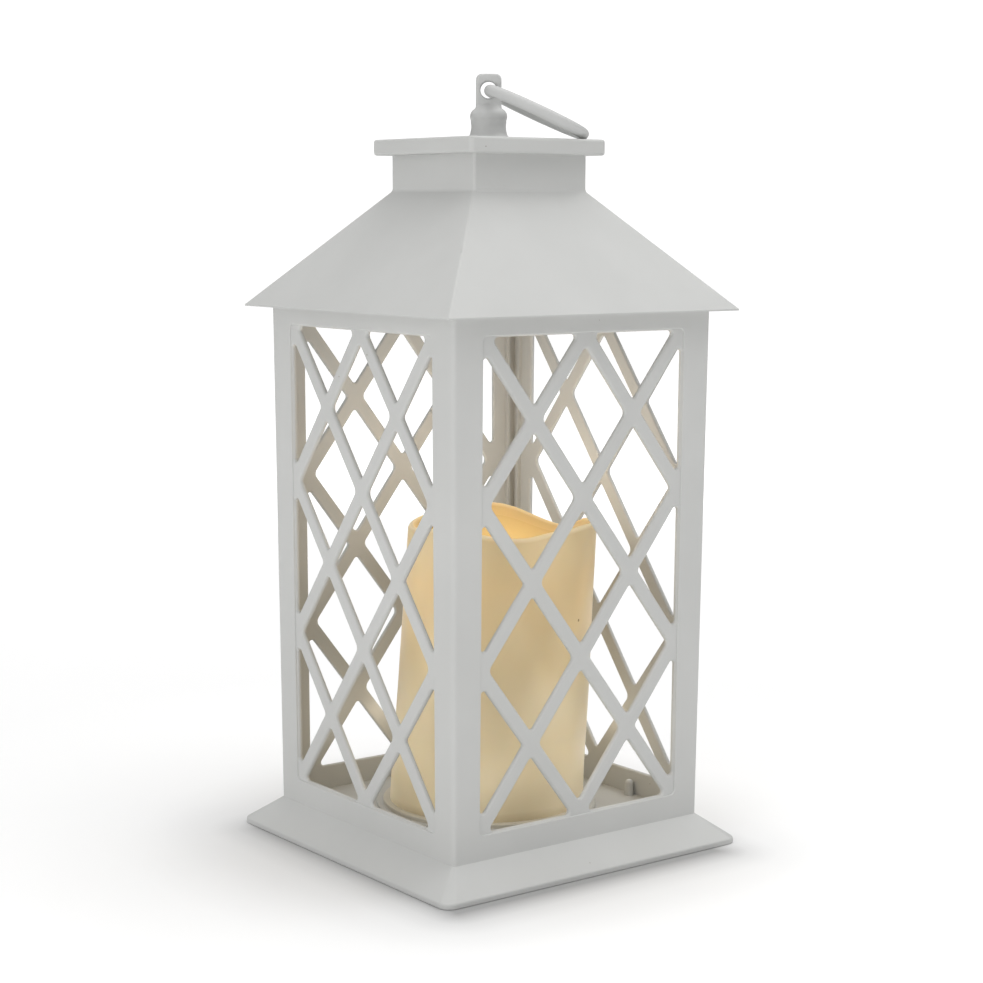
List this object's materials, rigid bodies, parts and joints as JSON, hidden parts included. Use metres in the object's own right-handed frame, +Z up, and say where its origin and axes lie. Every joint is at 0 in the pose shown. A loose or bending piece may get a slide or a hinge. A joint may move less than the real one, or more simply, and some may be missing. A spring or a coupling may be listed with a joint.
{
  "type": "lattice garden lantern with a battery candle",
  "caption": "Square white plastic lantern with diamond lattice sides, a hipped roof, a swinging ring and a battery candle inside.",
  "frame": {"origin": "centre of the footprint, on the surface the lantern stands on", "axes": "+Z up; the front lattice side faces -Y and +X is to the right as seen from the front"},
  "size_m": [0.143, 0.143, 0.2997],
  "materials": {
    "white_plastic": "satin",
    "white_trim": "satin",
    "candle_wax": "waxy",
    "ivory_plastic": "satin",
    "black_plastic": "satin",
    "cell_jacket": "gloss",
    "nickel": "satin",
    "circuit_green": "gloss",
    "resistor_coat": "gloss",
    "led_lens": "clear",
    "red_insulation": "gloss",
    "black_insulation": "gloss",
    "screw_steel": "bright"
  },
  "bodies": {
    "lantern": {"base_tray": "white_plastic", "front_panel": "white_plastic", "right_panel": "white_plastic", "back_panel": "white_plastic", "left_panel": "white_plastic", "roof": "white_plastic", "cap_plate": "white_plastic", "candle_shell": "candle_wax", "candle_base": "ivory_plastic", "battery_cell_left": "cell_jacket", "battery_cell_middle": "cell_jacket", "battery_cell_right": "cell_jacket", "positive_contact": "nickel", "negative_contact": "nickel", "rear_link_contact": "nickel", "front_link_contact": "nickel", "contact_springs": "nickel", "switch_body": "black_plastic", "switch_terminals": "nickel", "switch_screws": "screw_steel", "circuit_board": "circuit_green", "board_screws": "screw_steel", "timer_chip": "black_plastic", "resistor": "resistor_coat", "led_stem": "ivory_plastic", "led_lamp": "led_lens", "led_leads": "nickel", "led_wire_red": "red_insulation", "led_wire_black": "black_insulation", "battery_wire_red": "red_insulation", "battery_wire_black": "black_insulation", "switch_wires": "black_insulation"},
    "finial": {"finial": "white_trim", "finial_washer": "screw_steel", "finial_screw": "screw_steel"},
    "ring": {"ring_handle": "white_trim"},
    "battery_door": {"battery_door": "ivory_plastic"},
    "switch_slider": {"switch_slider": "black_plastic"}
  },
  "joints": [
    {"name": "finial_turn", "type": "hinge", "parent": "lantern", "child": "finial", "pos_m": [0, 0, 0.275], "axis": [0, 0, 1], "continuous": true},
    {"name": "ring_swing", "type": "hinge", "parent": "finial", "child": "ring", "pos_m": [0, 0, 0.29355], "axis": [-0.6032, -0.7976, 0], "range_deg": [0, 228.6]},
    {"name": "battery_door_hinge", "type": "hinge", "parent": "lantern", "child": "battery_door", "pos_m": [0, -0.0282, 0.0032], "axis": [-1, 0, 0], "range_deg": [0, 90]},
    {"name": "switch_slide", "type": "slide", "parent": "lantern", "child": "switch_slider", "axis": [0, 1, 0], "range_m": [-0.003, 0]}
  ]
}
